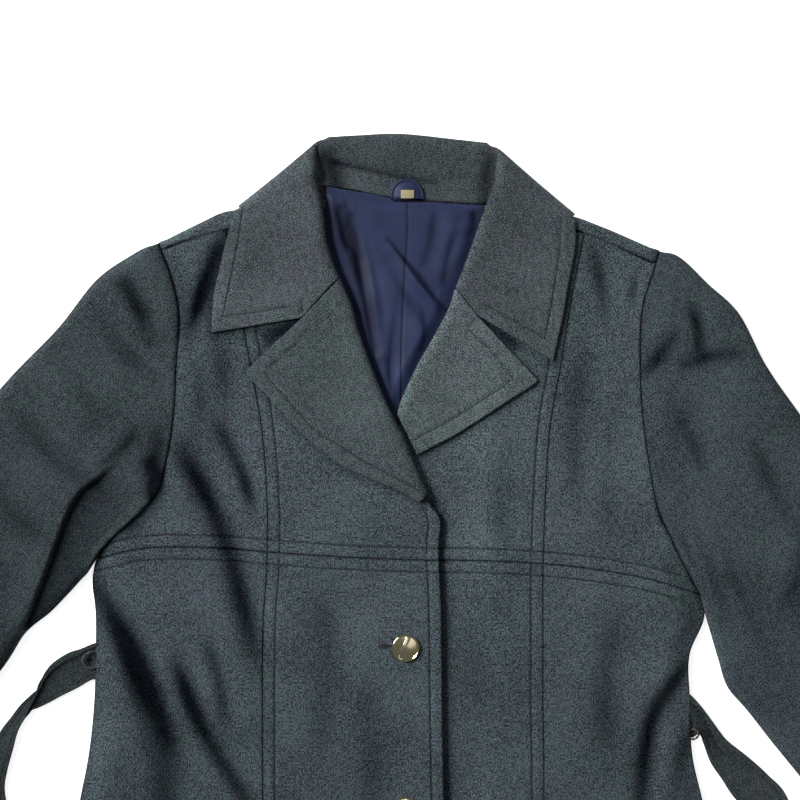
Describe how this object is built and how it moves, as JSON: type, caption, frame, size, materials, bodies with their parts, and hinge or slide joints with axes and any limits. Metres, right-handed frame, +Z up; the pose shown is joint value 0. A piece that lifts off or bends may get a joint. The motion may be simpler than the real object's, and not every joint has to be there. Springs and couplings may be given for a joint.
{
  "type": "trench coat",
  "caption": "Single-breasted wool coat with notched lapels, a yoke seam and side tie belts, laid flat on its back.",
  "frame": {"origin": "on the surface that the coat lies on, under the middle of its bounding box", "axes": "+Z up off the surface, +Y from the hem to the collar, +X to the viewer's right, which is the wearer's left"},
  "size_m": [1.219, 1.0204, 0.0177],
  "materials": {
    "wool": "brushed heathered wool",
    "satin": "satin",
    "label": "woven tape",
    "button_metal": "polished pale gold",
    "thread": "twisted thread"
  },
  "bodies": {
    "root": {"back": "wool", "front_left_side_upper": "wool", "front_left_side_lower": "wool", "front_left_centre_upper": "wool", "front_left_centre_lower": "wool", "front_right_side_upper": "wool", "front_right_side_lower": "wool", "front_right_centre_upper": "wool", "front_right_centre_lower": "wool", "sleeve_left": "wool", "sleeve_right": "wool", "collar": "wool", "lapel_left": "wool", "lapel_right": "wool", "belt_tie_left": "wool", "belt_tie_right": "wool", "back_lining": "satin", "neck_tab": "satin", "neck_label": "label", "button_1": "button_metal", "button_2": "button_metal", "button_3": "button_metal", "button_4": "button_metal", "belt_loop_left": "thread", "belt_loop_right": "thread"}
  },
  "joints": []
}
